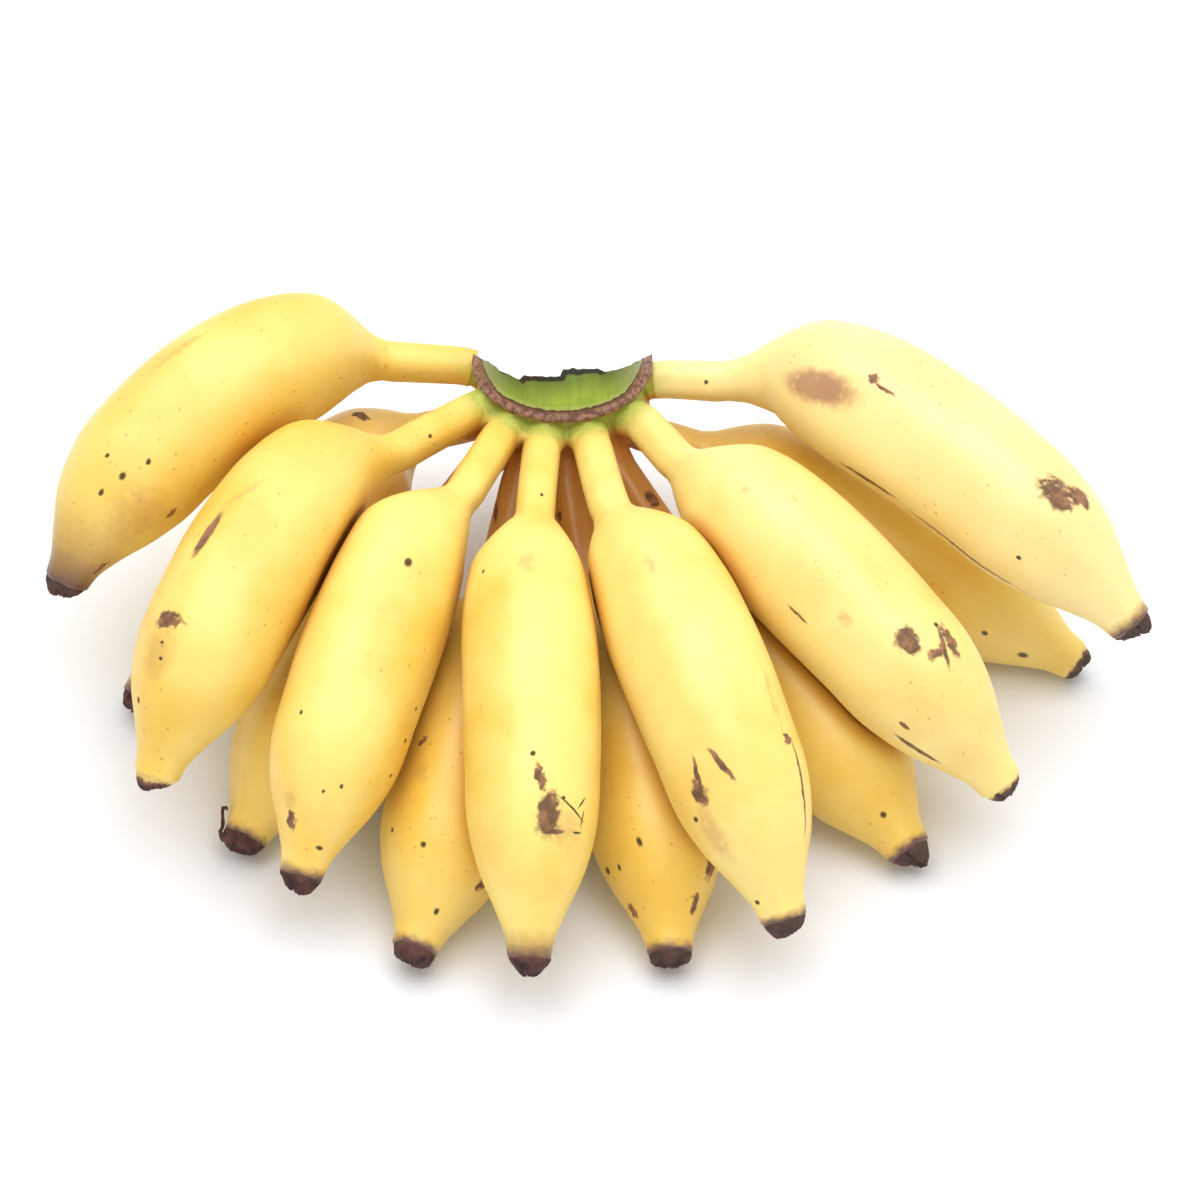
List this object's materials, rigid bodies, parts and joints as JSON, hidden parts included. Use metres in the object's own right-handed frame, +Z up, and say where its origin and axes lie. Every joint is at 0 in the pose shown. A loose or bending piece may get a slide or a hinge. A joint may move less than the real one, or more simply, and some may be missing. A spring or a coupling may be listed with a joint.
{
  "type": "hand of bananas",
  "caption": "Hand of small ripe dessert bananas on its green cut crown, two rows of fingers with dried flower tips, lying with the backs up.",
  "frame": {"origin": "on the surface it lies on, under the middle of its outline seen from above", "axes": "+X across the hand towards its seventh upper finger, -Y from the crown towards the fingertips, +Z up"},
  "size_m": [0.2578, 0.1692, 0.0787],
  "materials": {
    "peel": "satin",
    "dried_tip": "matte",
    "crown": "satin"
  },
  "bodies": {
    "root": {"crown": "crown", "finger_upper_1": "peel", "finger_upper_2": "peel", "finger_upper_3": "peel", "finger_upper_4": "peel", "finger_upper_5": "peel", "finger_upper_6": "peel", "finger_upper_7": "peel", "finger_lower_1": "peel", "finger_lower_2": "peel", "finger_lower_3": "peel", "finger_lower_4": "peel", "finger_lower_5": "peel", "finger_lower_6": "peel", "dried_tip_upper_1": "dried_tip", "dried_tip_upper_2": "dried_tip", "dried_tip_upper_3": "dried_tip", "dried_tip_upper_4": "dried_tip", "dried_tip_upper_5": "dried_tip", "dried_tip_upper_6": "dried_tip", "dried_tip_upper_7": "dried_tip", "dried_tip_lower_1": "dried_tip", "dried_tip_lower_2": "dried_tip", "dried_tip_lower_3": "dried_tip", "dried_tip_lower_4": "dried_tip", "dried_tip_lower_5": "dried_tip", "dried_tip_lower_6": "dried_tip"}
  },
  "joints": []
}
